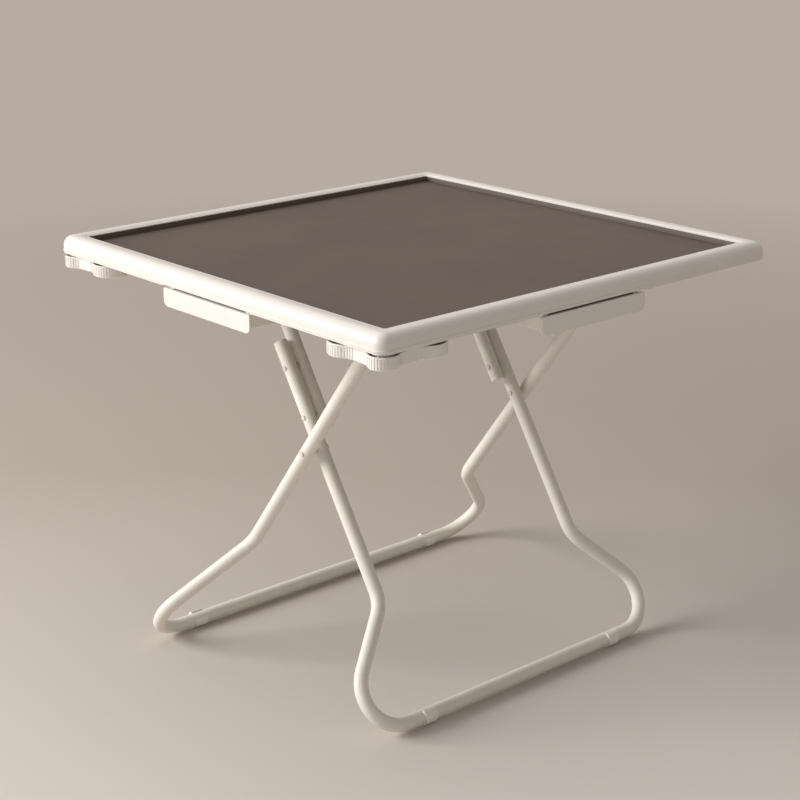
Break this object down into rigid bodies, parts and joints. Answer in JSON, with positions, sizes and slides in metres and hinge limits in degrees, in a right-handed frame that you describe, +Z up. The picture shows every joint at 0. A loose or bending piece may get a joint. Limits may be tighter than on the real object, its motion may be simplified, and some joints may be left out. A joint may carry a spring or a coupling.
{
  "type": "folding card table",
  "caption": "Square folding card table: recessed playing panel in a rounded rim, slide-out drawers and swivel corner trays, on crossed bent-tube legs that fold flat under the top.",
  "frame": {"origin": "on the floor under the middle of the top", "axes": "+Z up; +X along the foot bars to the right, -Y towards the front, where the inner leg stands"},
  "size_m": [0.9, 0.9, 0.766],
  "materials": {
    "rim_white": "gloss",
    "panel_brown": "matte laminate",
    "batten_board": "matte",
    "white_nylon": "satin",
    "painted_sheet": "satin",
    "drawer_white": "gloss",
    "tray_white": "gloss",
    "tube_cream": "semi-gloss",
    "zinc_steel": "zinc plated"
  },
  "bodies": {
    "table_top": {"playing_panel": "panel_brown", "rim_corner_back_left": "rim_white", "rim_corner_back_right": "rim_white", "rim_corner_front_left": "rim_white", "rim_corner_front_right": "rim_white", "rim_rail_back": "rim_white", "rim_rail_front": "rim_white", "rim_rail_left": "rim_white", "rim_rail_right": "rim_white", "hinge_batten": "batten_board", "hook_batten": "batten_board", "hinge_block_left": "white_nylon", "hinge_block_right": "white_nylon", "hook_bracket_left": "painted_sheet", "hook_bracket_right": "painted_sheet", "drawer_case_back": "painted_sheet", "drawer_case_front": "painted_sheet", "drawer_case_left": "painted_sheet", "drawer_case_right": "painted_sheet", "tray_pivot_back_left": "white_nylon", "tray_pivot_front_left": "white_nylon"},
    "front_drawer": {"drawer_front_front": "drawer_white", "drawer_box_front": "drawer_white"},
    "right_drawer": {"drawer_front_right": "drawer_white", "drawer_box_right": "drawer_white"},
    "back_drawer": {"drawer_front_back": "drawer_white", "drawer_box_back": "drawer_white"},
    "left_drawer": {"drawer_front_left": "drawer_white", "drawer_box_left": "drawer_white"},
    "front_left_tray": {"corner_tray_front_left": "tray_white"},
    "back_left_tray": {"corner_tray_back_left": "tray_white"},
    "link_frame": {"hinge_tube": "tube_cream", "link_tube_left": "tube_cream", "link_tube_right": "tube_cream", "link_cap_left": "white_nylon", "link_cap_right": "white_nylon"},
    "inner_leg": {"inner_leg_tube": "tube_cream", "inner_leg_cap_left": "white_nylon", "inner_leg_cap_right": "white_nylon", "inner_foot_clip_left": "white_nylon", "inner_foot_clip_right": "white_nylon", "cross_rivets": "zinc_steel", "link_rivets": "zinc_steel", "lock_pins": "zinc_steel"},
    "outer_leg": {"outer_leg_tube": "tube_cream", "outer_leg_cap_left": "white_nylon", "outer_leg_cap_right": "white_nylon", "outer_foot_clip_left": "white_nylon", "outer_foot_clip_right": "white_nylon", "hook_pins": "zinc_steel"}
  },
  "joints": [
    {"name": "link_fold", "type": "hinge", "parent": "table_top", "child": "link_frame", "pos_m": [0, 0.137, 0.706], "axis": [-1, 0, 0], "range_deg": [0, 58.1]},
    {"name": "inner_leg_fold", "type": "hinge", "parent": "link_frame", "child": "inner_leg", "pos_m": [0, -0.00155, 0.48313], "axis": [1, 0, 0], "range_deg": [0, 177.2]},
    {"name": "outer_leg_fold", "type": "hinge", "parent": "inner_leg", "child": "outer_leg", "pos_m": [0, -0.0336, 0.433], "axis": [-1, 0, 0], "range_deg": [0, 70.1]},
    {"name": "front_left_tray_swing", "type": "hinge", "parent": "table_top", "child": "front_left_tray", "pos_m": [-0.424, -0.424, 0.72], "axis": [0, 0, 1], "range_deg": [0, 180]},
    {"name": "back_left_tray_swing", "type": "hinge", "parent": "table_top", "child": "back_left_tray", "pos_m": [-0.424, 0.424, 0.72], "axis": [0, 0, -1], "range_deg": [0, 180]},
    {"name": "front_drawer_slide", "type": "slide", "parent": "table_top", "child": "front_drawer", "axis": [0, -1, 0], "range_m": [0, 0.085]},
    {"name": "right_drawer_slide", "type": "slide", "parent": "table_top", "child": "right_drawer", "axis": [1, 0, 0], "range_m": [0, 0.085]},
    {"name": "back_drawer_slide", "type": "slide", "parent": "table_top", "child": "back_drawer", "axis": [0, 1, 0], "range_m": [0, 0.085]},
    {"name": "left_drawer_slide", "type": "slide", "parent": "table_top", "child": "left_drawer", "axis": [-1, 0, 0], "range_m": [0, 0.085]}
  ],
  "couplings": [
    {"joint": "inner_leg_fold", "follows": "link_fold", "ratio": 3.048},
    {"joint": "outer_leg_fold", "follows": "link_fold", "ratio": 1.206}
  ]
}
